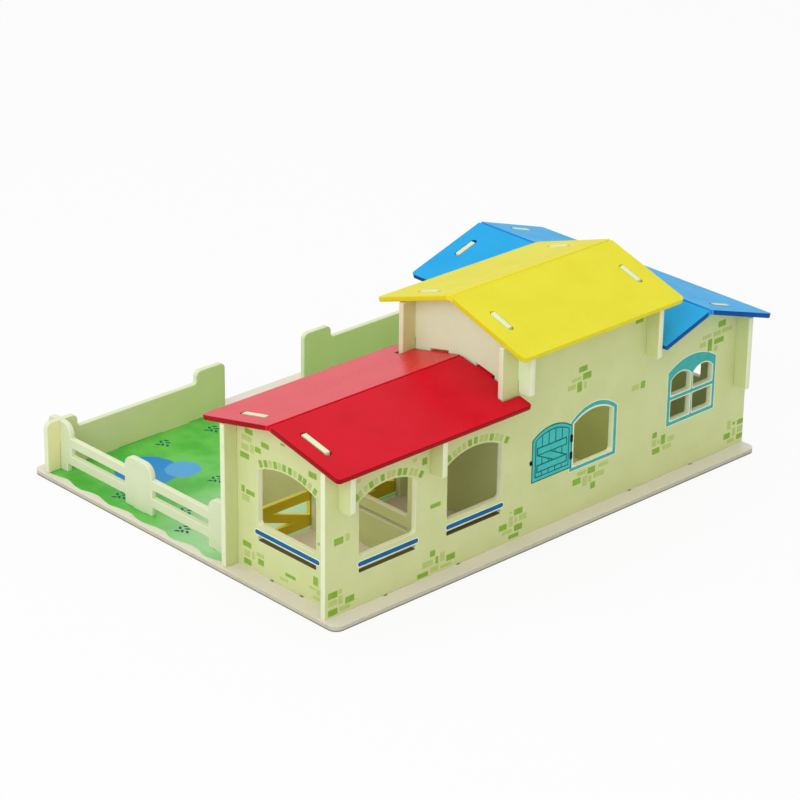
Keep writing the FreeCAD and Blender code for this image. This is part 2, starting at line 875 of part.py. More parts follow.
red_half_span = half_depth + red_overhang
red_left_end = gable_wall_x - red_gable_overhang
yellow_half_span = half_depth + yellow_overhang
yellow_left_end = tall_left_x - yellow_left_overhang
yellow_right_end = tall_right_face + yellow_right_overhang
blue_front_end = front_wall_y - blue_front_overhang
blue_back_end = wing_back_end + blue_back_overhang
along_red = FreeCAD.Vector(1, 0, 0)
wall_runs = (
    (half_depth, ridge_y - front_wall_back),
    (yard_wall_back - ridge_y, yard_wall_y - ridge_y),
)
for place, side, (outer_run, inner_run) in zip(("front", "back"), (-1, 1), wall_runs):
    # The red panel reaches past the long wall's tall part outside it, and ends in a tab within.
    # Its square edge leans, so the strip outside also keeps clear of the wall by that lean.
    edge_lean = roof_board * math.sin(math.radians(red_roof_degrees))
    strip_run = outer_run + edge_lean + roof_wall_gap
    room_run = inner_run - roof_wall_gap
    end_x = tall_left_x - red_end_gap
    strip_end_x = tall_left_x + red_strip_reach
    notch_x = tall_wall_left - roof_wall_gap
    tab_end_x = tall_left_x + board - run_gap
    red_start = ridge_start(red_roof_degrees)
    red_corners = [
        (red_left_end, red_start, 0),
        (red_left_end, red_half_span, eave_corner_radius),
        (strip_end_x, red_half_span, eave_corner_radius),
        (strip_end_x, strip_run, 0),
        (notch_x, strip_run, 0),
        (notch_x, room_run, 0),
        (end_x, room_run, 0),
        (end_x, red_end_tab[1], 0),
        (tab_end_x, red_end_tab[1], 0),
        (tab_end_x, red_end_tab[0], 0),
        (end_x, red_end_tab[0], 0),
        (end_x, red_start, 0),
    ]
    nodes["red_roof_" + place] = panel(
        red_corners,
        FreeCAD.Vector(0, ridge_y, red_ridge_z),
        along_red,
        down_vector(red_roof_degrees, 0, side),
        [tab_slot_y(gable_wall_x, side, red_tab)],
    )
    yellow_start = ridge_start(yellow_roof_degrees)
    yellow_corners = [
        (yellow_left_end, yellow_start, 0),
        (yellow_left_end, yellow_half_span, eave_corner_radius),
        (yellow_right_end, yellow_half_span, eave_corner_radius),
        (yellow_right_end, yellow_start, 0),
    ]
    nodes["yellow_roof_" + place] = panel(
        yellow_corners,
        FreeCAD.Vector(0, ridge_y, yellow_ridge_z),
        along_red,
        down_vector(yellow_roof_degrees, 0, side),
        [tab_slot_y(tall_left_x, side, yellow_tab), tab_slot_y(tall_right_x, side, yellow_tab)],
    )

# The left blue panel is notched round the tall right wall and widens behind it. Only the right
# one is slotted over the front wall too.
blue_start = ridge_start(blue_roof_degrees)
blue_notch_run = ridge_x - tall_right_face - roof_wall_gap
blue_notch_y = ear_back + roof_wall_gap
blue_outlines = {
    "left": [
        (blue_front_end, blue_start, 0),
        (blue_front_end, blue_notch_run, 0),
        (blue_notch_y, blue_notch_run, 0),
        (blue_notch_y, half_wing + blue_yard_overhang, eave_corner_radius),
        (blue_back_end, half_wing + blue_yard_overhang, eave_corner_radius),
        (blue_back_end, blue_start, 0),
    ],
    "right": [
        (blue_front_end, blue_start, 0),
        (blue_front_end, half_wing + blue_overhang, eave_corner_radius),
        (blue_back_end, half_wing + blue_overhang, eave_corner_radius),
        (blue_back_end, blue_start, 0),
    ],
}
blue_slots = {
    "left": [tab_slot_x(wing_back_y, -1)],
    "right": [tab_slot_x(front_wall_y, 1), tab_slot_x(wing_back_y, 1)],
}
for place, side in (("left", -1), ("right", 1)):
    nodes["blue_roof_" + place] = panel(
        blue_outlines[place],
        FreeCAD.Vector(ridge_x, 0, blue_ridge_z),
        FreeCAD.Vector(0, 1, 0),
        down_vector(blue_roof_degrees, side, 0),
        blue_slots[place],
    )

# Gates: a braced leaf glued to a turned post, which turns in the base and in a block on the wall
gate_y = yard_wall_back + gate_wall_gap
gate_middle_y = gate_y + gate_board / 2
pivot_holes = []
for name, door_left in zip(("first", "second"), stall_window_lefts):
    leaf_left = door_left - gate_overlap
    post_x = door_left + gate_post_reach
    leaf = box((leaf_left, post_x), (gate_y, gate_y + gate_board), (gate_bottom, gate_top))
    inner_left = leaf_left + gate_stile
    inner_right = post_x - gate_stile
    low = gate_bottom + gate_rail
    high = gate_top - gate_rail
    middle_low = gate_bottom + gate_rail / 2
    middle_high = gate_top - gate_rail / 2
    fall = (middle_high - middle_low) / (post_x - leaf_left)

    def brace_z(x, offset):
        return middle_high - fall * (x - leaf_left) + offset

    half = gate_brace / 2
    top_start = leaf_left + (middle_high + half - high) / fall
    low_end = leaf_left + (middle_high - half - low) / fall
    upper_gap = [
        (top_start, high, 0),
        (inner_right, high, 0),
        (inner_right, brace_z(inner_right, half), 0),
    ]
    lower_gap = [
        (inner_left, low, 0),
        (inner_left, brace_z(inner_left, -half), 0),
        (low_end, low, 0),
    ]
    post = Part.makeCylinder(
        gate_post_radius,
        gate_top - gate_bottom,
        FreeCAD.Vector(post_x, gate_middle_y, gate_bottom),
    )
    post_seat = Part.makeCylinder(
        gate_post_radius + glue_gap,
        gate_top - gate_bottom,
        FreeCAD.Vector(post_x, gate_middle_y, gate_bottom),
    )
    leaf = cut_all(leaf, [solid(gap, *through_y(gate_y)) for gap in (upper_gap, lower_gap)] + [post_seat])
    block_z = gate_top + block_gap
    pivot_length = block_z + block_height - pivot_low_z
    pivot = Part.makeCylinder(pivot_radius, pivot_length, FreeCAD.Vector(post_x, gate_middle_y, pivot_low_z))
    hole = Part.makeCylinder(
        pivot_radius + pivot_gap,
        far_outside,
        FreeCAD.Vector(post_x, gate_middle_y, -base_thickness),
    )
    pivot_holes.append(hole)
    block = box(
        (post_x - block_width / 2, post_x + block_width / 2),
        (yard_wall_back, yard_wall_back + block_depth),
        (block_z, block_z + block_height),
    )
    nodes[name + "_gate_leaf"] = leaf.removeSplitter()
    nodes[name + "_gate_post"] = post.fuse(pivot).removeSplitter()
    nodes[name + "_gate_block"] = block.cut(hole)

# Base board, with the slots for the feet and the holes for the gate pivots
base = solid(
    [
        (0, 0, base_corner_radius),
        (base_length, 0, base_corner_radius),
        (base_length, base_depth, base_corner_radius),
        (0, base_depth, base_corner_radius),
    ],
    flat(0),
    FreeCAD.Vector(0, 0, base_thickness),
)
nodes["base_board"] = cut_all(base, base_slots + pivot_holes)

to_origin = FreeCAD.Vector(-base_length / 2, -base_depth / 2, 0)
for name, shape in nodes.items():
    shape.translate(to_origin)
    shape.exportStep("parts/" + name + ".step")
    bounds = shape.BoundBox
    print(
        f"{name:18s} solids {len(shape.Solids)} valid {shape.isValid()} "
        f"x {bounds.XMin:.1f} {bounds.XMax:.1f} y {bounds.YMin:.1f} {bounds.YMax:.1f} "
        f"z {bounds.ZMin:.1f} {bounds.ZMax:.1f}"
    )
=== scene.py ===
import json
import math

import bmesh
import bpy
from mathutils import Matrix, Vector

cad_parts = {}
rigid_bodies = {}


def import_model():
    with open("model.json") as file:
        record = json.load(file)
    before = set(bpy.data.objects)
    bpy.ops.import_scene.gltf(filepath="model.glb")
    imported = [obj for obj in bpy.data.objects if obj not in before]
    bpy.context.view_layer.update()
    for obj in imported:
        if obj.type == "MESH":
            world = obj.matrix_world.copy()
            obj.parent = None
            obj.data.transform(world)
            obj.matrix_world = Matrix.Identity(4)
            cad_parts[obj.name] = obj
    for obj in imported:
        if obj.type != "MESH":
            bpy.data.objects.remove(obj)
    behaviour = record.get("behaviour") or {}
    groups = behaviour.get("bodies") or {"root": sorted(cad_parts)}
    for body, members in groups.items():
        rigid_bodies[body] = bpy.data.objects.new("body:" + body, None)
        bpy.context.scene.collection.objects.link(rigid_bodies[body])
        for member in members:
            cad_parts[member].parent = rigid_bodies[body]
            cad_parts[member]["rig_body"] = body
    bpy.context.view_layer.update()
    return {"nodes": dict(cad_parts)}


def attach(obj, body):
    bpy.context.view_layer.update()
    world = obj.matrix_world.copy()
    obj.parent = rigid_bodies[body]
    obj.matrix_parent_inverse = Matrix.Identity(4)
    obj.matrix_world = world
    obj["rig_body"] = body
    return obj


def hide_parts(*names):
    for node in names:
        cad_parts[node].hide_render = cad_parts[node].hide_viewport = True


# The toy barn's looks: painted boards with worn rims, screen prints on the walls, the printed
# meadow on the base, and the studio. Plan sizes are in millimetres from the front left corner of
# the base, as the board plan gives them, and turn into metres where a mesh is finished.

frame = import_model()

METRE = 0.001
BASE_MIDDLE = Vector((300.0, 234.5, 0.0))

# Faces of the boards that carry prints
FRONT_FACE = 19.4
GABLE_FACE = 20.8
YARD_FACE = 170.6
END_FACE = 585.2
WING_BACK_FACE = 315.2
BASE_TOP = 5.0

# How paint sits on the boards
RIM_ROUND = 0.0010
GATE_RIM_ROUND = 0.0007
POST_RIM_ROUND = 0.0004
RIM_STEPS = 3
SHARP_RIM = math.radians(35)
SAME_PLACE = 0.00001
ONE_PLANE = math.radians(0.5)
LEVEL_ENOUGH = 0.999
PRINT_SUNK = 0.05
PRINT_LAYER = 0.06
ARCH_CUTS = 23


# Shader wiring


class Wire:
    """A number that varies over a surface. Arithmetic on it adds Math nodes."""

    def __init__(self, finish, socket):
        self.finish = finish
        self.socket = socket

    def maths(self, operation, *others):
        inputs = dict(enumerate((self, *others)))
        return self.finish.add("ShaderNodeMath", {"operation": operation}, inputs)

    def __add__(self, other):
        return self.maths("ADD", other)

    __radd__ = __add__

    def __sub__(self, other):
        return self.maths("SUBTRACT", other)

    def __rsub__(self, other):
        return self * -1 + other

    def __mul__(self, other):
        return self.maths("MULTIPLY", other)

    __rmul__ = __mul__

    def cosine(self):
        return self.maths("COSINE")

    def rising(self, low, high):
        """0 below low, 1 above high, and a smooth step between."""
        settings = {"interpolation_type": "SMOOTHSTEP"}
        inputs = {"Value": self, "From Min": low, "From Max": high}
        return self.finish.add("ShaderNodeMapRange", settings, inputs)


class Wiring:
    """The nodes of a material or of the world."""

    def __init__(self, owner):
        owner.use_nodes = True
        self.tree = owner.node_tree
        self.tree.nodes.clear()

    def add(self, kind, settings=None, inputs=None, output=0):
        node = self.tree.nodes.new(kind)
        for name, value in (settings or {}).items():
            setattr(node, name, value)
        for name, value in (inputs or {}).items():
            if isinstance(value, Wire):
                self.tree.links.new(value.socket, node.inputs[name])
            else:
                node.inputs[name].default_value = value
        return Wire(self, node.outputs[output])

    def seen_ray(self):
        """1 for rays that show the background: from the camera, a gloss or a glass."""
        by_camera = self.add("ShaderNodeLightPath", output="Is Camera Ray")
        by_gloss = self.add("ShaderNodeLightPath", output="Is Glossy Ray")
        by_glass = self.add("ShaderNodeLightPath", output="Is Transmission Ray")
        return by_camera.maths("MAXIMUM", by_gloss).maths("MAXIMUM", by_glass)

    def end(self, kind, surface):
        self.tree.links.new(surface.socket, self.tree.nodes.new(kind).inputs["Surface"])


class Finish(Wiring):
    """One material, whose textures follow the object's own coordinates."""

    def __init__(self, name):
        self.material = bpy.data.materials.new(name)
        super().__init__(self.material)
        self.place = self.add("ShaderNodeTexCoord", output="Object")

    def noise(self, grain, detail=3.0, stretch=(1, 1, 1)):
        """Noise with features of about this many millimetres."""
        scaled = self.add("ShaderNodeMapping", inputs={"Vector": self.place, "Scale": stretch})
        inputs = {"Vector": scaled, "Scale": 1 / (grain * METRE), "Detail": detail}
        return self.add("ShaderNodeTexNoise", inputs=inputs)

    def blend(self, share, first, second):
        """Colour that goes from the first to the second as share goes from 0 to 1."""
        settings = {"data_type": "RGBA", "clamp_factor": True}
        return self.add("ShaderNodeMix", settings, {0: share, 6: first, 7: second}, output=2)

    def bump(self, height, strength, depth):
        inputs = {"Height": height, "Strength": strength, "Distance": depth * METRE}
        return self.add("ShaderNodeBump", inputs=inputs)

    def painted(self, colour, roughness, normal, coat=0.0, coat_roughness=0.1, specular=0.12):
        inputs = {
            "Base Color": colour,
            "Roughness": roughness,
            "Normal": normal,
            "Coat Weight": coat,
            "Coat Roughness": coat_roughness,
            "Specular IOR Level": specular,
        }
        self.end("ShaderNodeOutputMaterial", self.add("ShaderNodeBsdfPrincipled", inputs=inputs))
        return self.material

    def level(self, axis):
        """Place along one axis, in millimetres of the frame."""
        return self.add("ShaderNodeSeparateXYZ", inputs={0: self.place}, output=axis) * (1 / METRE)


def paint(red, green, blue):
    """Linear colour of a paint that is written as it shows, from 0 to 255."""
    parts = [value / 255 for value in (red, green, blue)]
    linear = [c / 12.92 if c <= 0.04045 else ((c + 0.055) / 1.055) ** 2.4 for c in parts]
    return (*linear, 1.0)


# Paints


# Height above which a board's paint turns to a lighter copy: painted light
PAINTED_LIGHT_START = 142.0
PAINTED_LIGHT_FADE = 4.0
PEEL_STRENGTH = 0.35
PEEL_DEPTH = 0.12


def board_paint(name, colour, shade, gloss, coat=0.0, specular=0.12, painted_light_top=None):
    """Sprayed paint on fibreboard: cloudy tone, fine speckle and orange peel, and painted light above a
    height where asked.
    """
    finish = Finish(name)
    clouds = finish.noise(34, 4.0)
    speckle = finish.noise(1.1, 2.0)
    tone = clouds.rising(0.3, 0.75) * 0.55 + speckle.rising(0.35, 0.75) * 0.3
    roughness = clouds * 0.1 + speckle * 0.08 + (gloss - 0.09)
    peel = finish.noise(2.6, 2.0) * 0.6 + speckle * 0.4
    normal = finish.bump(peel, PEEL_STRENGTH, PEEL_DEPTH)
    colour = finish.blend(tone, colour, shade)
    # Painted light: above that height the colour turns to a lighter, cooler copy of the paint
    if painted_light_top:
        above = finish.level("Z").rising(PAINTED_LIGHT_START, PAINTED_LIGHT_START + PAINTED_LIGHT_FADE)
        colour = finish.blend(above, colour, finish.blend(tone, *painted_light_top))
    return finish.painted(colour, roughness, normal, coat=coat, specular=specular)


RIM_SPECULAR = 0.08
# How far the painted highlight on the rims reaches from a roof's ridge
RIDGE_REACH = 3.5
RIDGE_FADE = 1.0
LONG_RIDGE_Y = 97.5 - BASE_MIDDLE.y
WING_RIDGE_X = 512.0 - BASE_MIDDLE.x
# Heights of the narrow slits, whose rims get painted shade
SLIT_LOW = 40.4
SLIT_HIGH = 46.0
SLIT_FADE = 0.3
SLIT_PAINTED_SHADE = paint(112, 102, 66)
EDGE_BUMP = 0.5
EDGE_DEPTH = 0.15


def edge_wear(finish):
    """Fine streaks of fibre, and how dark the streaks and the rubbed patches make an edge."""
    fibres = finish.noise(0.9, 3.0)
    rubbed = finish.noise(14, 3.0)
    return fibres, fibres.rising(0.4, 0.7) * 0.5 + rubbed.rising(0.45, 0.8) * 0.5


def rim_paint(name, colour, shade, gloss, shaded_slits=False, ridge_highlight=None):
    """Edge of a painted board, with a painted highlight at a roof's ridge and painted shade in the narrow
    slits.
    """
    finish = Finish(name)
    fibres, tone = edge_wear(finish)
    roughness = fibres * 0.16 + (gloss - 0.08)
    normal = finish.bump(fibres, EDGE_BUMP, EDGE_DEPTH)
    colour = finish.blend(tone, colour, shade)
    # Painted highlight: near the ridge the rim turns to a bright copy of the panel's colour, which paints
    # out the shade in the gap between the panels
    if ridge_highlight:
        axis, place, bright = ridge_highlight
        away = (finish.level(axis) - place).maths("ABSOLUTE")
        near = 1 - away.rising(RIDGE_REACH, RIDGE_REACH + RIDGE_FADE)
        colour = finish.blend(near, colour, bright)
    # Painted shade: the faces that look up or down inside the narrow slits turn dark brown, as they lie in
    # shade
    if shaded_slits:
        height = finish.level("Z")
        above = height.rising(SLIT_LOW - SLIT_FADE, SLIT_LOW)
        below = 1 - height.rising(SLIT_HIGH, SLIT_HIGH + SLIT_FADE)
        facing = finish.add("ShaderNodeNewGeometry", output="Normal")
        flat = finish.add("ShaderNodeSeparateXYZ", inputs={0: facing}, output="Z").maths("ABSOLUTE")
        colour = finish.blend(above * below * flat.rising(0.5, 0.8), colour, SLIT_PAINTED_SHADE)
    return finish.painted(colour, roughness, normal, specular=RIM_SPECULAR)


def print_ink(name, colour, shade, gloss=0.42):
    """Screen-printed ink, a little uneven from one patch to the next."""
    finish = Finish(name)
    patches = finish.noise(9, 2.0)
    screen = finish.noise(0.7, 2.0)
    tone = patches.rising(0.35, 0.65) * 0.7 + screen.rising(0.4, 0.7) * 0.3
    normal = finish.bump(screen, 0.3, 0.05)
    return finish.painted(finish.blend(tone, colour, shade), screen * 0.1 + (gloss - 0.05), normal)


def bare_wood(name, colour, shade):
    """Turned beech with its grain along z."""
    finish = Finish(name)
    grain = finish.noise(1.6, 4.0, stretch=(1, 1, 0.08))
    pores = finish.noise(0.5, 2.0, stretch=(1, 1, 0.15))
    tone = grain.rising(0.3, 0.7) * 0.7 + pores.rising(0.5, 0.7) * 0.3
    normal = finish.bump(grain * 0.5 + pores * 0.5, 0.5, 0.2)
    return finish.painted(finish.blend(tone, colour, shade), grain * 0.15 + 0.45, normal)


MEADOW_START = 172.0
MEADOW_BORDER = 7.9
MEADOW_WAVE = 2.3
MEADOW_RAGGED = 4.0
MEADOW_BACK_STRIP = 9.5
# Where the meadow gets a painted reflection that pales it towards mint, and how strong
SHEEN_MIDDLE = (94.0, 214.0)
SHEEN_REACH = (142.0, 112.0)
SHEEN_HEART = 0.25
SHEEN_SHARE = 0.85
SHEEN_GREEN = paint(206, 240, 198)
MEADOW_WAVE_LENGTH = 51.0
MEADOW_WAVE_START = 2 * math.pi * 425.0 / MEADOW_WAVE_LENGTH
BARE_BOARD = paint(238, 230, 215)
BARE_BOARD_SHADE = paint(229, 220, 203)
MEADOW_GREEN = paint(80, 184, 64)
MEADOW_GREEN_LIGHT = paint(110, 202, 86)
PONDS = (
    ((84.0, 385.0), 34.0, paint(30, 142, 212)),
    ((114.0, 363.0), 18.5, paint(84, 168, 224)),
)
POND_RAGGED = 6.0
PRINT_FADE = 0.3
WALL_FADE = 0.1


def meadow_print(name):
    """Base top on bare board: a meadow with a wavy border, a painted reflection that pales it in one place,
    and two ponds.
    """
    finish = Finish(name)
    across = finish.level("X") + BASE_MIDDLE.x
    along = finish.level("Y") + BASE_MIDDLE.y
    ragged = finish.noise(16, 2.0) - 0.5
    wave_along = (along * (2 * math.pi / MEADOW_WAVE_LENGTH) - MEADOW_WAVE_START).cosine()
    wave_across = (across * (2 * math.pi / MEADOW_WAVE_LENGTH)).cosine()
    nearer_side = across.maths("MINIMUM", 2 * BASE_MIDDLE.x - across)
    from_sides = nearer_side - wave_along * MEADOW_WAVE
    from_back = 2 * BASE_MIDDLE.y - along - wave_across * MEADOW_WAVE - MEADOW_BACK_STRIP
    margin = from_sides.maths("MINIMUM", from_back) + ragged * MEADOW_RAGGED
    in_yard = along.rising(MEADOW_START - WALL_FADE, MEADOW_START + WALL_FADE)
    grass = margin.rising(MEADOW_BORDER - PRINT_FADE, MEADOW_BORDER + PRINT_FADE) * in_yard
    clouds = finish.noise(40, 3.0)
    speckle = finish.noise(1.2, 2.0)
    bare = finish.blend(clouds * 0.6 + speckle * 0.4, BARE_BOARD, BARE_BOARD_SHADE)
    green = finish.blend(clouds.rising(0.35, 0.65), MEADOW_GREEN, MEADOW_GREEN_LIGHT)
    # Painted reflection: a broad patch of the green turns pale mint, as where the gloss mirrors the pale
    # walls
    from_sheen_x = (across - SHEEN_MIDDLE[0]) * (1 / SHEEN_REACH[0])
    from_sheen_y = (along - SHEEN_MIDDLE[1]) * (1 / SHEEN_REACH[1])
    sheen_reach = (from_sheen_x * from_sheen_x + from_sheen_y * from_sheen_y).maths("SQRT")
    painted_sheen = (1 - sheen_reach.rising(SHEEN_HEART, 1.0)) * SHEEN_SHARE
    colour = finish.blend(grass, bare, finish.blend(painted_sheen, green, SHEEN_GREEN))
    for middle, radius, water in PONDS:
        from_x = across - middle[0]
        from_y = along - middle[1]
        reach = (from_x * from_x + from_y * from_y).maths("SQRT")
        shore = reach + ragged * POND_RAGGED
        inside = 1 - shore.rising(radius - PRINT_FADE, radius + PRINT_FADE)
        colour = finish.blend(inside, colour, water)
    roughness = clouds * 0.12 + speckle * 0.06 + 0.24
    normal = finish.bump(finish.noise(2.8, 2.0) * 0.6 + speckle * 0.4, 0.3, 0.1)
    return finish.painted(colour, roughness, normal, coat=0.15, coat_roughness=0.16)


BASE_SIDE = paint(202, 197, 180)
BASE_SIDE_SHADE = paint(186, 180, 160)
BASE_BROWN = paint(134, 126, 90)
BASE_FOOT = 1.6
BASE_FOOT_FADE = 0.2


def base_side(name):
    """Sides of the base: pale board with a thin brown line along the foot."""
    finish = Finish(name)
    fibres, tone = edge_wear(finish)
    pale = finish.blend(tone, BASE_SIDE, BASE_SIDE_SHADE)
    height = finish.level("Z") + fibres * 0.4
    foot = 1 - height.rising(BASE_FOOT - BASE_FOOT_FADE, BASE_FOOT + BASE_FOOT_FADE)
    normal = finish.bump(fibres, EDGE_BUMP, EDGE_DEPTH)
    return finish.painted(finish.blend(foot, pale, BASE_BROWN), fibres * 0.16 + 0.47, normal)


cream_print = board_paint("wall_cream", paint(214, 220, 160), paint(205, 212, 148), 0.42)
cream_rim = rim_paint("wall_rim", paint(232, 237, 200), paint(222, 228, 186), 0.5)
# Rims of the walls with slits, with painted shade inside the slits
slit_shaded_rim = rim_paint("slit_wall_rim_painted_shade", paint(232, 237, 200), paint(222, 228, 186), 0.5, shaded_slits=True)
# The tall wall's upper part gets a lighter, cooler cream: painted light where it catches more light
tall_painted_light = (paint(232, 250, 212), paint(224, 242, 200))
tall_print = board_paint(
    "tall_wall_cream", paint(206, 214, 152), paint(197, 206, 142), 0.42, painted_light_top=tall_painted_light
)
# The back fences get a lighter cream than the other walls: painted light, where the barn keeps the lamps
# off them
back_fence_lit_print = board_paint("back_fence_cream", paint(238, 233, 178), paint(231, 226, 166), 0.42)
# The rail fence gets a paler, cooler cream than the other walls: painted light from the cool lamp on its
# left
rail_fence_lit_print = board_paint("rail_fence_cream", paint(220, 227, 189), paint(212, 219, 178), 0.42)
red_top = board_paint("red_lacquer", paint(217, 8, 38), paint(203, 6, 30), 0.28, specular=0.08)
# The back panel's red is a little lighter than the front panel's: painted light, besides its glossier
# finish
red_lit_gloss = board_paint(
    "red_gloss_lacquer", paint(226, 16, 46), paint(212, 12, 38), 0.26, coat=0.05, specular=0.14
)
# Bright copy of the roof's colour for the painted highlight at its ridge; the yellow and blue roofs below
# have one each
red_ridge_highlight = ("Y", LONG_RIDGE_Y, paint(224, 16, 42))
red_rim = rim_paint("red_rim", paint(164, 4, 18), paint(142, 2, 14), 0.38, ridge_highlight=red_ridge_highlight)
yellow_top = board_paint("yellow_lacquer", paint(234, 225, 56), paint(226, 216, 44), 0.46, specular=0.1)
yellow_ridge_highlight = ("Y", LONG_RIDGE_Y, paint(246, 234, 44))
yellow_rim = rim_paint("yellow_rim", paint(232, 220, 34), paint(220, 202, 24), 0.38, ridge_highlight=yellow_ridge_highlight)
blue_top = board_paint("blue_lacquer", paint(40, 174, 234), paint(32, 162, 226), 0.42, specular=0.08)
blue_ridge_highlight = ("X", WING_RIDGE_X, paint(42, 158, 226))
blue_rim = rim_paint("blue_rim", paint(12, 84, 158), paint(8, 68, 136), 0.38, ridge_highlight=blue_ridge_highlight)
# The gate's one yellow paint is split into lit and shaded copies: a darker ochre face for painted shade and
# bright rims for painted highlight
gate_shaded_face = board_paint("gate_yellow_painted_shade", paint(206, 184, 36), paint(192, 168, 28), 0.36)
gate_lit_rim = rim_paint("gate_lit_rim", paint(244, 232, 96), paint(236, 218, 72), 0.38)
base_print = meadow_print("base_meadow")
base_rim = base_side("base_rim")
beech = bare_wood("turned_beech", paint(222, 196, 148), paint(196, 162, 110))

lime_ink = print_ink("brick_lime", paint(142, 184, 66), paint(128, 172, 54))
pale_ink = print_ink("brick_pale", paint(190, 206, 126), paint(182, 199, 114))
stripe_ink = print_ink("stripe_blue", paint(4, 104, 164), paint(2, 92, 152))
outline_ink = print_ink("outline_cream", paint(236, 240, 206), paint(230, 234, 198))
turquoise_ink = print_ink("frame_turquoise", paint(70, 181, 176), paint(62, 170, 166))
shutter_ink = print_ink("shutter_turquoise", paint(72, 197, 192), paint(62, 186, 181))
line_ink = print_ink("shutter_lines", paint(26, 118, 110), paint(20, 106, 98))
iron_ink = print_ink("hinge_black", paint(7, 7, 8), paint(4, 4, 5), 0.6)
# Dark brown ink for painted shade at the open ends of the foot slots
slot_shade_ink = print_ink("slot_end_painted_shade", paint(58, 50, 32), paint(40, 34, 22), 0.6)
tuft_ink = print_ink("tuft_teal", paint(24, 104, 96), paint(18, 90, 84))


# Boards


def finished(mesh, name, body, finishes):
    """Object from a bmesh whose place is already right, riding on its body."""
    data = bpy.data.meshes.new(name)
    mesh.to_mesh(data)
    mesh.free()
    for finish in finishes:
        data.materials.append(finish)
    piece = bpy.data.objects.new(name, data)
    bpy.context.scene.collection.objects.link(piece)
    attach(piece, body)
    return piece


def dressed_board(node, face_paint, edge_paint, rim=RIM_ROUND):
    """A board with the frame's own shape, sanded rims, and paint that differs on its edges."""
    solid = frame["nodes"][node]
    mesh = bmesh.new()
    mesh.from_mesh(solid.data)
    bmesh.ops.remove_doubles(mesh, verts=mesh.verts, dist=SAME_PLACE)
    bmesh.ops.dissolve_limit(
        mesh,
        angle_limit=ONE_PLANE,
        use_dissolve_boundaries=False,
        verts=mesh.verts,
        edges=mesh.edges,
    )
    flat_side = max(mesh.faces, key=lambda face: face.calc_area()).normal.copy()
    rims = [edge for edge in mesh.edges if edge.calc_face_angle_signed() > SHARP_RIM]
    bmesh.ops.bevel(
        mesh,
        geom=rims,
        affect="EDGES",
        offset=rim,
        segments=RIM_STEPS,
        profile=0.5,
        material=-1,
        clamp_overlap=True,
    )
    for face in mesh.faces:
        on_flat = abs(face.normal.dot(flat_side)) > LEVEL_ENOUGH
        face.material_index = 0 if on_flat else 1
        face.smooth = not on_flat
    for edge in mesh.edges:
        edge.smooth = edge.calc_face_angle(0) < SHARP_RIM
    piece = finished(mesh, node + "_painted", solid["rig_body"], [face_paint, edge_paint])
    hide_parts(node)
    return piece


WALLS = (
    "front_wall",
    "yard_wall",
    "gable_wall",
    "stall_partition",
    "tall_left_wall",
    "tall_right_wall",
    "wing_end_wall",
    "wing_back_wall",
    "rail_fence",
    "back_fence_left",
    "back_fence_right",
    "side_fence",
)
SLIT_WALLS = ("front_wall", "gable_wall")
WALL_PRINTS = {
    "tall_left_wall": tall_print,
    "rail_fence": rail_fence_lit_print,
    "back_fence_left": back_fence_lit_print,
    "back_fence_right": back_fence_lit_print,
}
for wall in WALLS:
    rim = slit_shaded_rim if wall in SLIT_WALLS else cream_rim
    dressed_board(wall, WALL_PRINTS.get(wall, cream_print), rim)
for panel, lacquer in (("red_roof_front", red_top), ("red_roof_back", red_lit_gloss)):
    dressed_board(panel, lacquer, red_rim)
for panel in ("yellow_roof_front", "yellow_roof_back"):
    dressed_board(panel, yellow_top, yellow_rim)
for panel in ("blue_roof_left", "blue_roof_right"):
    dressed_board(panel, blue_top, blue_rim)
for gate in ("first", "second"):
    dressed_board(gate + "_gate_leaf", gate_shaded_face, gate_lit_rim, GATE_RIM_ROUND)
    for part in ("_gate_post", "_gate_block"):
        dressed_board(gate + part, beech, beech, POST_RIM_ROUND)
dressed_board("base_board", base_print, base_rim)


# Prints. Each is drawn flat as (u, v), laid on a board's face, and stands off it by its layer.

FACES = {
    "front": (Vector((1, 0, 0)), Vector((0, 0, 1)), Vector((0, -1, 0)), Vector((0, FRONT_FACE, 0))),
    "gable": (Vector((0, 1, 0)), Vector((0, 0, 1)), Vector((-1, 0, 0)), Vector((GABLE_FACE, 0, 0))),
    "yard": (Vector((1, 0, 0)), Vector((0, 0, 1)), Vector((0, 1, 0)), Vector((0, YARD_FACE, 0))),
    "end": (Vector((0, 1, 0)), Vector((0, 0, 1)), Vector((1, 0, 0)), Vector((END_FACE, 0, 0))),
    "wing": (Vector((1, 0, 0)), Vector((0, 0, 1)), Vector((0, 1, 0)), Vector((0, WING_BACK_FACE, 0))),
    "base": (Vector((1, 0, 0)), Vector((0, 1, 0)), Vector((0, 0, 1)), Vector((0, 0, BASE_TOP))),
}


def printed(mesh, name, face, layer, ink):
    """Gives flat shapes drawn in (u, v) the thickness of their ink and puts them on a face."""
    thickness = PRINT_SUNK + layer * PRINT_LAYER
    bmesh.ops.solidify(mesh, geom=mesh.faces[:], thickness=thickness)
    low = min(vertex.co.z for vertex in mesh.verts)
    bmesh.ops.translate(mesh, vec=(0, 0, -PRINT_SUNK - low), verts=mesh.verts)
    level, upright, out, origin = FACES[face]
    turn = Matrix((level, upright, out)).transposed().to_4x4()
    place = Matrix.Scale(METRE, 4) @ Matrix.Translation(origin - BASE_MIDDLE) @ turn
    bmesh.ops.transform(mesh, matrix=place, verts=mesh.verts)
    bmesh.ops.recalc_face_normals(mesh, faces=mesh.faces)
    return finished(mesh, name, "barn", [ink])


def soften(mesh, corners, radius):
    """Rounds these corners of flat shapes."""
    bmesh.ops.bevel(
        mesh,
        geom=corners,
        affect="VERTICES",
        offset=radius,
        segments=4,
        profile=0.5,
        material=-1,
    )


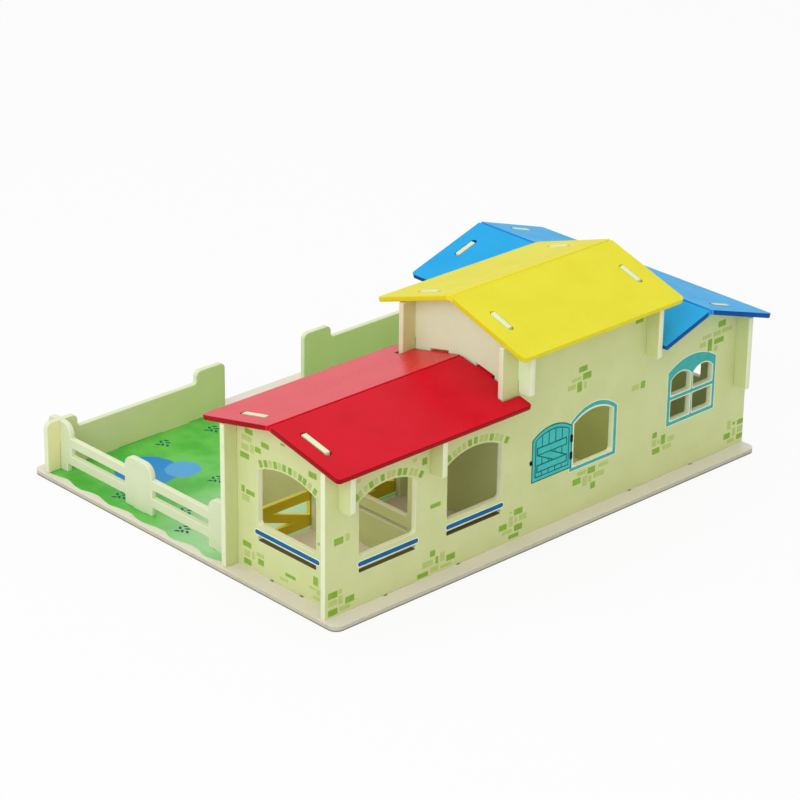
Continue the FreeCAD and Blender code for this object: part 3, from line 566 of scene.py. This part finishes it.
def rectangle(mesh, left, right, low, high, turn=0.0):
    """Corners of a rectangle that is turned about its middle."""
    made = bmesh.ops.create_grid(mesh, x_segments=1, y_segments=1, size=0.5)["verts"]
    bmesh.ops.scale(mesh, vec=(right - left, high - low, 1), verts=made)
    bmesh.ops.rotate(mesh, cent=(0, 0, 0), matrix=Matrix.Rotation(turn, 3, "Z"), verts=made)
    bmesh.ops.translate(mesh, vec=((left + right) / 2, (low + high) / 2, 0), verts=made)
    return made


def patch(mesh, left, right, low, high, corner=0.0, turn=0.0):
    """Rectangle with softened corners, turned about its middle."""
    made = rectangle(mesh, left, right, low, high, turn)
    if corner:
        soften(mesh, made, corner)


BAR_END = 0.49


def bar(mesh, start, end, width):
    """Straight line of ink with round ends."""
    start, end = Vector(start), Vector(end)
    run = end - start
    middle = (start + end) / 2
    half = (run.length + width) / 2
    patch(
        mesh,
        middle.x - half,
        middle.x + half,
        middle.y - width / 2,
        middle.y + width / 2,
        width * BAR_END,
        math.atan2(run.y, run.x),
    )


def arch_radius(width, rise):
    """Radius of a segmental arch."""
    return (width * width / 4 + rise * rise) / (2 * rise)


def arch_height(middle, width, spring, crown, u):
    """Height of a segmental arch over its span at u."""
    radius = arch_radius(width, crown - spring)
    away = min(abs(u - middle), width / 2)
    return crown - radius + math.sqrt(radius * radius - away * away)


def arch(mesh, left, right, low, spring, crown, corner=0.0):
    """Face with an arched top."""
    made = rectangle(mesh, left, right, low, spring)
    half_way = (low + spring) / 2
    feet = [vertex for vertex in made if vertex.co.y < half_way]
    shoulders = [vertex for vertex in made if vertex.co.y > half_way]
    if corner:
        soften(mesh, feet, corner)
    top = [edge for edge in shoulders[0].link_edges if shoulders[1] in edge.verts]
    cut = bmesh.ops.subdivide_edges(mesh, edges=top, cuts=ARCH_CUTS)["geom_inner"]
    for vertex in cut:
        if isinstance(vertex, bmesh.types.BMVert):
            vertex.co.y = arch_height((left + right) / 2, right - left, spring, crown, vertex.co.x)


def punched(mesh):
    """Makes the faces drawn so far one sheet, with the inner ones as holes in the outer one."""
    outlines = mesh.edges[:]
    bmesh.ops.delete(mesh, geom=mesh.faces[:], context="FACES_ONLY")
    bmesh.ops.triangle_fill(mesh, use_beauty=True, use_dissolve=False, edges=outlines)


# Bricks scattered over the walls in patches, as (left, right, low, high)

FRONT_LIME = (
    (15.6, 27.2, 79.4, 86.6), (8, 20, 25, 31.8), (30, 41.4, 13.8, 20.6), (8.2, 20, 7, 13.6),
    (140.4, 147.2, 24.8, 31.2), (148, 151.6, 15, 23), (162.6, 174.2, 13, 19.8), (123.6, 138, 6.4, 11.4),
    (139.6, 153.6, 77, 81.4), (255.2, 267, 31.6, 38.2), (234.4, 245.2, 20.2, 26.6),
    (255.6, 267, 14, 20.8), (248, 262.2, 7.4, 11.8), (341.6, 353.6, 160.4, 166.4),
    (347.6, 359.6, 151, 158), (339.8, 346.6, 139.6, 150.4), (422, 433.2, 190.2, 196),
    (434, 440.4, 115.8, 123.6), (359.6, 370.6, 43.4, 50.2), (338.2, 349.6, 36.8, 43.6),
    (364.4, 371.4, 25.4, 32.4), (550, 561.3, 150.3, 157), (535, 541.3, 127.5, 140.7),
    (544.7, 559.2, 133, 138.8), (455.5, 462.3, 52.7, 59), (469.2, 475.5, 42, 52.5),
    (456.3, 467.5, 34, 40.5), (589.5, 599, 27.7, 33.3), (582, 586, 29.5, 32.8),
    (568.7, 578.8, 16, 22.3), (589.5, 599, 10.7, 16.3), (128.2, 134.8, 127.2, 134.4),
)
FRONT_PALE = (
    (30, 35.4, 80, 87.6), (21, 26, 27, 32), (8.4, 19.6, 17, 23), (21, 26.6, 16, 25), (22.4, 36, 8, 13),
    (130, 144.4, 15.6, 22), (154, 160, 15.4, 25.4), (141.2, 152, 7.6, 13), (155, 169, 7.6, 11),
    (248.6, 252.4, 35, 37.6), (248, 253.6, 21, 32), (256, 259.4, 23.4, 29.6),
    (262.4, 273, 23.4, 30.4), (239, 252.6, 14.4, 18.4), (331.6, 345.4, 152.4, 156),
    (326.4, 337.6, 144.6, 150), (349.4, 353.4, 141, 148.4), (420.4, 431.6, 116.4, 122.4),
    (344.4, 357.6, 45.6, 50.4), (375.4, 389.4, 46, 50.4), (352.4, 359, 32, 43),
    (360.6, 365.4, 34, 41), (368.4, 384, 36, 42), (526.2, 539.7, 143, 147.2),
    (542.8, 554.5, 142, 147.2), (556.3, 572, 142.5, 147.5), (522.2, 532, 134.7, 139.7),
    (545, 550.3, 125, 130.8), (455, 462, 43.3, 50.8), (463.3, 467.5, 44.2, 49),
    (478.8, 489.2, 42.2, 47.8), (471.7, 485, 35, 40), (573.7, 579.2, 25.8, 36.3),
    (582, 586.7, 16.7, 25.8), (590, 599, 18.3, 25), (575, 585.8, 10, 14.2),
    (44, 49, 135.5, 139), (116, 121, 134, 138),
)
GABLE_LIME = (
    (49.5, 61, 135.5, 141.7), (94.7, 100.8, 154, 156.3), (117.5, 128.8, 142.5, 148),
    (141.2, 152.5, 149.3, 154.8), (129.2, 137.8, 134.3, 139.8), (146.7, 159.7, 122, 127.8),
    (138.8, 151.5, 85, 89.8), (153.7, 158.3, 85.3, 92.3), (47.8, 54.5, 24, 33.3),
    (80, 94.7, 17.8, 21.2), (126.2, 134.7, 15, 21.2), (144.7, 157.2, 27.3, 33.2),
    (144.7, 155.8, 8.5, 14.5), (45.3, 47.7, 68.3, 71.3),
)
GABLE_PALE = (
    (142.5, 157.5, 141.3, 146.7), (139, 145, 131, 139.5), (147, 158, 131, 137.5),
    (146.7, 158, 76.7, 83.3), (44, 50, 15, 21), (51, 60, 18, 21), (45, 55, 9, 13),
    (126, 137, 23, 27.5), (140, 143.5, 17, 25), (147, 155, 17, 24), (91, 103, 11, 14),
)
BRICK_CORNER = 0.7

# Bricks along an opening's arch, as distances from its middle and whether they are lime
FIRST_ARCH = (
    (-40, 1), (-35.4, 0), (-28, 0), (-21.5, 1), (-15, 0), (-7.1, 1), (1, 0), (7, 0), (15, 1), (22, 1),
    (30, 0), (36, 0), (43, 1),
)
SECOND_ARCH = (
    (-35, 1), (-28, 0), (-22, 0), (-15, 0), (-7.4, 1), (0.4, 1), (8, 0), (14.3, 0), (22, 1), (29, 0),
    (35, 0), (43, 1),
)
GABLE_ARCH = (
    (-40.4, 1), (-33, 0), (-25.7, 1), (-19.4, 1), (-12, 0), (-4.9, 1), (3.3, 1), (10, 0), (16.3, 1),
    (23.5, 0), (30.1, 1), (37.3, 1),
)
STALL_WINDOW = {"width": 74.0, "spring": 116.0, "crown": 126.0}
GABLE_WINDOW = {"width": 84.0, "spring": 116.0, "crown": 126.0}
ARCH_BRICK = (5.2, 7.2)
ARCH_BRICK_OUT = 5.4


def arch_bricks(mesh, middle, window, arch_places, wanted):
    """The lime or the pale bricks that fan out along a window's arch."""
    radius = arch_radius(window["width"], window["crown"] - window["spring"])
    centre = window["crown"] - radius
    reach = radius + ARCH_BRICK_OUT
    width, height = ARCH_BRICK
    for away, lime in arch_places:
        if lime == wanted:
            lean = math.asin(away / reach)
            left = middle + away - width / 2
            low = centre + reach * math.cos(lean) - height / 2
            patch(mesh, left, left + width, low, low + height, BRICK_CORNER, -lean)


def bricks(name, face, places, arches, lime):
    """All bricks of one ink on a face."""
    mesh = bmesh.new()
    for place in places:
        patch(mesh, *place, BRICK_CORNER)
    for middle, window, arch_places in arches:
        arch_bricks(mesh, middle, window, arch_places, lime)
    printed(mesh, name, face, 1, lime_ink if lime else pale_ink)


CLUSTER_LIME = ((0, 11.4, 0, 6.6), (-15, -8.7, -22.8, -9.6), (-5.3, 9.2, -17.3, -11.5))
CLUSTER_PALE = (
    (-23.8, -10.3, -7.3, -3.1), (-7.2, 4.5, -8.3, -3.1), (6.3, 20, -7.8, -2.8), (-26, -17, -15.6, -10.6),
    (-5, 0.3, -25.3, -19.5),
)
CLUSTERS = {
    "yard": ((142.0, 112.0), (310.0, 178.0), (392.0, 84.0), (298.0, 56.0)),
    "end": ((170.0, 124.0), (52.0, 46.0), (238.0, 62.0)),
    "wing": ((492.0, 140.0), (548.0, 76.0), (474.0, 52.0)),
}


def clustered(face, pattern):
    """A pattern of bricks repeated at each of a face's clusters."""
    return [
        (u + left, u + right, v + low, v + high)
        for u, v in CLUSTERS[face]
        for left, right, low, high in pattern
    ]


FRONT_ARCHES = ((84.0, STALL_WINDOW, FIRST_ARCH), (199.0, STALL_WINDOW, SECOND_ARCH))
GABLE_ARCHES = ((92.4, GABLE_WINDOW, GABLE_ARCH),)
bricks("front_bricks_lime", "front", FRONT_LIME, FRONT_ARCHES, 1)
bricks("front_bricks_pale", "front", FRONT_PALE, FRONT_ARCHES, 0)
bricks("gable_bricks_lime", "gable", GABLE_LIME, GABLE_ARCHES, 1)
bricks("gable_bricks_pale", "gable", GABLE_PALE, GABLE_ARCHES, 0)
for face in CLUSTERS:
    bricks(face + "_bricks_lime", face, clustered(face, CLUSTER_LIME), (), 1)
    bricks(face + "_bricks_pale", face, clustered(face, CLUSTER_PALE), (), 0)


# Blue stripes between the window rails and their slits

STRIPES = {"front": ((46.0, 124.2, 49.5), (161.4, 239.2, 49.5)), "gable": ((45.6, 138.7, 49.5),)}
STRIPE_WIDTH = 4.8
OUTLINE = 1.1
STRIPE_LAYERS = (("outlines", 1, 2 * OUTLINE, outline_ink), ("stripes", 2, 0, stripe_ink))
for face, runs in STRIPES.items():
    for name, layer, wide, ink in STRIPE_LAYERS:
        mesh = bmesh.new()
        for left, right, height in runs:
            inset = STRIPE_WIDTH / 2
            bar(mesh, (left + inset, height), (right - inset, height), STRIPE_WIDTH + wide)
        printed(mesh, face + "_stripe_" + name, face, layer, ink)


# Shutter of the tall window, its frame, and the frame round the four panes

SHUTTER = (278.0, 335.0, 59.0, 105.6, 115.6)
SHUTTER_BORDER = 4.4
LINE = 1.4
PLANK_LINE = LINE * 0.9
PLANKS = (292.0, 301.4, 310.8, 320.2)
BATTENS = ((285.4, 326.4, 88.0, 95.4), (285.4, 327.0, 69.4, 76.6))
BATTEN_CORNER = 0.3
BRACE_MIDDLE = (305.9, 82.3)
BRACE_SIZE = (43.0, 7.9)
BRACE_TURN = math.radians(-26)
HINGE = (332.2, 335.6)
HINGE_LOWS = (68.6, 87.6)
HINGE_HEIGHT = 8.4
LATCH = (275.2, 278.4, 79.6, 84.4)
IRON_CORNER = 1.2


def arch_print(name, face, layer, ink, outline, holes=(), corner=0.0, hole_corner=0.0):
    """An arched patch of ink, with arched holes."""
    mesh = bmesh.new()
    arch(mesh, *outline, corner)
    for hole in holes:
        arch(mesh, *hole, hole_corner)
    if holes:
        punched(mesh)
    printed(mesh, name, face, layer, ink)


SPRING_GROWTH = 0.3


def grown(outline, by):
    """An arched outline that is wider all round, with its spring line raised less."""
    left, right, low, spring, crown = outline
    return (left - by, right + by, low - by, spring + by * SPRING_GROWTH, crown + by)


TALL_OPENING = (337.6, 395.0, 58.5, 106.0, 115.2)
TALL_FRAME = (332.6, 399.6, 54.5, 108.4, 121.8)
TALL_FRAME_INNER = (335.4, 395.6, 58.0, 107.0, 117.4)
END_OPENING = (65.5, 122.9, 70.0, 117.5, 126.7)
END_FRAME = (60.7, 127.7, 66.0, 119.9, 133.3)
END_FRAME_INNER = (63.7, 124.7, 69.5, 118.5, 128.9)
PANE_FRAME = (475.8, 548.5, 60.2, 120.0, 131.6)
PANE_LEFTS = (481.0, 514.4)
PANE_WIDTH = 29.6
LOW_PANE = (65.2, 87.4)
HIGH_PANE = (93.4, 110.8, 117.0)
PANE_OUTLINE = 1.3
SLIGHT_RISE = 0.02
SHUTTER_INNER = grown(SHUTTER, -SHUTTER_BORDER - LINE)
FRAME_GROWTH = 1.0
HOLE_GROWTH = 0.1
FRAME_CORNER = 1.0
OPENING_CORNER = 3.9
PANE_CORNER = 1.5
PANE_FRAME_CORNER = 1.2


def pane_holes(by):
    """Outlines of the four panes, grown by the width of their pale outline."""
    holes = []
    for left in PANE_LEFTS:
        right = left + PANE_WIDTH
        low_top = LOW_PANE[1] + by
        holes.append((left - by, right + by, LOW_PANE[0] - by, low_top, low_top + SLIGHT_RISE))
        holes.append((left - by, right + by, HIGH_PANE[0] - by, HIGH_PANE[1], HIGH_PANE[2] + by))
    return holes


WINDOW_FRAMES = (
    ("tall_frame", "front", TALL_FRAME, TALL_FRAME_INNER, TALL_OPENING),
    ("end_frame", "end", END_FRAME, END_FRAME_INNER, END_OPENING),
)
for name, face, outer, inner, opening in WINDOW_FRAMES:
    arch_print(name, face, 2, turquoise_ink, outer, (inner,), FRAME_CORNER, FRAME_CORNER)
    hole = grown(opening, HOLE_GROWTH)
    outline = grown(outer, FRAME_GROWTH)
    arch_print(name + "_outline", face, 1, outline_ink, outline, (hole,), FRAME_CORNER, OPENING_CORNER)
pane_outline = grown(PANE_FRAME, FRAME_GROWTH)
pane_gaps = pane_holes(HOLE_GROWTH)
arch_print("pane_frame_outline", "front", 1, outline_ink, pane_outline, pane_gaps, PANE_CORNER, PANE_CORNER)
panes = pane_holes(PANE_OUTLINE)
arch_print("pane_frame", "front", 2, turquoise_ink, PANE_FRAME, panes, PANE_FRAME_CORNER, PANE_CORNER)
SHUTTER_LAYERS = (
    ("shutter_edge", 3, line_ink, SHUTTER, 0.4),
    ("shutter_border", 4, shutter_ink, grown(SHUTTER, -LINE), 0.4),
    ("shutter_inner_line", 5, line_ink, grown(SHUTTER, -SHUTTER_BORDER), 0.6),
    ("shutter_panel", 6, shutter_ink, SHUTTER_INNER, 0.3),
)
for name, layer, ink, outline, corner in SHUTTER_LAYERS:
    arch_print(name, "front", layer, ink, outline, (), corner)
mesh = bmesh.new()
for u in PLANKS:
    left, right, low, spring, crown = SHUTTER_INNER
    top = arch_height((left + right) / 2, right - left, spring, crown, u)
    bar(mesh, (u, low), (u, top), PLANK_LINE)
printed(mesh, "shutter_plank_lines", "front", 7, line_ink)
u, v = BRACE_MIDDLE
for name, layer, grow, ink in (("edges", 8, LINE / 2, line_ink), ("face", 9, -LINE / 2, shutter_ink)):
    mesh = bmesh.new()
    half_length = BRACE_SIZE[0] / 2
    half_width = BRACE_SIZE[1] / 2 + grow
    patch(mesh, u - half_length, u + half_length, v - half_width, v + half_width, 0.0, BRACE_TURN)
    printed(mesh, "shutter_brace_" + name, "front", layer, ink)
for name, layer, grow, ink in (("edges", 10, LINE / 2, line_ink), ("faces", 11, -LINE / 2, shutter_ink)):
    mesh = bmesh.new()
    for left, right, low, high in BATTENS:
        patch(mesh, left - grow, right + grow, low - grow, high + grow, BATTEN_CORNER)
    printed(mesh, "shutter_batten_" + name, "front", layer, ink)
mesh = bmesh.new()
for hinge_low in HINGE_LOWS:
    patch(mesh, *HINGE, hinge_low, hinge_low + HINGE_HEIGHT, IRON_CORNER)
patch(mesh, *LATCH, IRON_CORNER)
printed(mesh, "shutter_hinges", "front", 12, iron_ink)

# Painted shade: dark patches on the base where the open ends of the foot slots lie in shade beside the
# walls' feet

SLOT_END_LENGTH = 4.4
SLOT_END_WIDTH = 1.5
SLOT_END_UNDER = 0.2
FRONT_SLOT_ENDS = (79.4, 176.0, 421.2, 514.4)
GABLE_SLOT_ENDS = (68.4, 111.6)
mesh = bmesh.new()
for u in FRONT_SLOT_ENDS:
    patch(mesh, u, u + SLOT_END_LENGTH, FRONT_FACE - SLOT_END_WIDTH, FRONT_FACE + SLOT_END_UNDER)
for v in GABLE_SLOT_ENDS:
    patch(mesh, GABLE_FACE - SLOT_END_WIDTH, GABLE_FACE + SLOT_END_UNDER, v, v + SLOT_END_LENGTH)
printed(mesh, "foot_slot_painted_shade", "base", 0, slot_shade_ink)

# Tufts of grass on the meadow

TUFTS = (
    (200.0, 417.0), (139.0, 424.0), (27.0, 356.0), (26.0, 254.0), (124.0, 320.0), (54.0, 285.0),
    (230.0, 250.0), (330.0, 330.0), (385.0, 236.0), (300.0, 398.0), (404.0, 420.0), (520.0, 400.0),
    (470.0, 350.0), (550.0, 352.0),
)

# The leaves of a tuft, as (along u, along v, lean in degrees)
LEAVES = (
    (-6.2, 3.4, 40), (0.2, 6.4, -35), (6.4, 5.0, 30), (-2.8, -0.4, -40), (4.0, -0.6, 38),
    (-0.6, -5.6, -30),
)
LEAF_SIZE = (3.0, 6.4)
LEAF_CORNERS = 12
mesh = bmesh.new()
for u, v in TUFTS:
    for off_u, off_v, degrees in LEAVES:
        turn = Matrix.Rotation(math.radians(degrees), 3, "Z")
        leaf = bmesh.ops.create_circle(mesh, cap_ends=True, segments=LEAF_CORNERS, radius=0.5)["verts"]
        bmesh.ops.scale(mesh, vec=(*LEAF_SIZE, 1), verts=leaf)
        bmesh.ops.rotate(mesh, cent=(0, 0, 0), matrix=turn, verts=leaf)
        bmesh.ops.translate(mesh, vec=(u + off_u, v + off_v, 0), verts=leaf)
printed(mesh, "meadow_tufts", "base", 1, tuft_ink)


# Studio

CAMERA_PLACE = Vector((-1.9745, -2.0893, 1.3731))
CAMERA_TURN = math.radians(-43.405)
CAMERA_TILT = math.radians(90 - 24.366)
CAMERA_ROLL = math.radians(0.662)
LENS = 136.548
SENSOR = 36.0
FARTHEST = 50.0
camera_data = bpy.data.cameras.new("camera")
camera_data.lens = LENS
camera_data.sensor_width = SENSOR
camera_data.clip_end = FARTHEST
camera = bpy.data.objects.new("camera", camera_data)
bpy.context.scene.collection.objects.link(camera)
camera.matrix_world = (
    Matrix.Translation(CAMERA_PLACE)
    @ Matrix.Rotation(CAMERA_TURN, 4, "Z")
    @ Matrix.Rotation(CAMERA_TILT, 4, "X")
    @ Matrix.Rotation(CAMERA_ROLL, 4, "Z")
)
bpy.context.scene.camera = camera

AMBIENT = 0.74
LAMP_AIM = (0, 0, 0.08)
WHITE = (1, 1, 1, 1)
COOL = (0.86, 0.93, 1.0)
WARM = (1.0, 0.98, 0.86)


def softbox(name, place, size, power, tint=(1, 1, 1), aim=LAMP_AIM):
    """Square lamp that points at its aim, in metres and watts."""
    lamp = bpy.data.lights.new(name, "AREA")
    lamp.shape = "SQUARE"
    lamp.size = size
    lamp.energy = power
    lamp.color = tint
    holder = bpy.data.objects.new(name, lamp)
    bpy.context.scene.collection.objects.link(holder)
    holder.location = place
    holder.rotation_euler = (Vector(aim) - Vector(place)).to_track_quat("-Z", "Y").to_euler()


softbox("key_lamp", (-2.3, -0.9, 1.6), 1.8, 24, COOL)
softbox("fill_lamp", (-0.9, -2.9, 1.0), 2.0, 2, WARM)
softbox("top_lamp", (0.2, 0.6, 3.0), 2.0, 15)

# Small lamps in the rooms, pointing straight down, as (name, place, size, power)
ROOM_LAMPS = (
    ("tall_room_lamp", (0.05, -0.14, 0.205), 0.12, 0.07),
    ("first_stall_lamp", (-0.217, -0.14, 0.15), 0.08, 0.04),
    ("wing_lamp", (0.215, -0.07, 0.15), 0.1, 0.03),
    ("second_stall_lamp", (-0.1, -0.14, 0.15), 0.08, 0.01),
)
for name, place, size, power in ROOM_LAMPS:
    softbox(name, place, size, power, WARM, (place[0], place[1], 0))

# The sky is white for the camera, in the lacquer and through glass, and a little dimmer as soft light
world = bpy.data.worlds.new("studio")
bpy.context.scene.world = world
sky = Wiring(world)
strength = sky.seen_ray() * (1 - AMBIENT) + AMBIENT
glow = sky.add("ShaderNodeBackground", inputs={"Color": WHITE, "Strength": strength})
sky.end("ShaderNodeOutputWorld", glow)

# The floor glows white where it is seen, and the rest of it is card that takes the shadow
FLOOR_HALF = 15
FLOOR_DROP = 0.0002
FLOOR_CARD = (0.86, 0.86, 0.86, 1)
FLOOR_GLOW = 0.88
floor_mesh = bmesh.new()
bmesh.ops.create_grid(floor_mesh, x_segments=1, y_segments=1, size=FLOOR_HALF)
bmesh.ops.translate(floor_mesh, vec=(0, 0, -FLOOR_DROP), verts=floor_mesh.verts)
floor_data = bpy.data.meshes.new("floor")
floor_mesh.to_mesh(floor_data)
floor_mesh.free()
floor = bpy.data.objects.new("floor", floor_data)
bpy.context.scene.collection.objects.link(floor)
floor_finish = Finish("studio_floor")
card = floor_finish.add("ShaderNodeBsdfDiffuse", inputs={"Color": FLOOR_CARD})
glow = floor_finish.add("ShaderNodeEmission", inputs={"Color": WHITE, "Strength": 1.0})
inputs = {0: floor_finish.seen_ray() * FLOOR_GLOW, 1: card, 2: glow}
floor_look = floor_finish.add("ShaderNodeMixShader", inputs=inputs)
floor_finish.end("ShaderNodeOutputMaterial", floor_look)
floor_data.materials.append(floor_finish.material)

bpy.context.scene.view_settings.view_transform = "Standard"
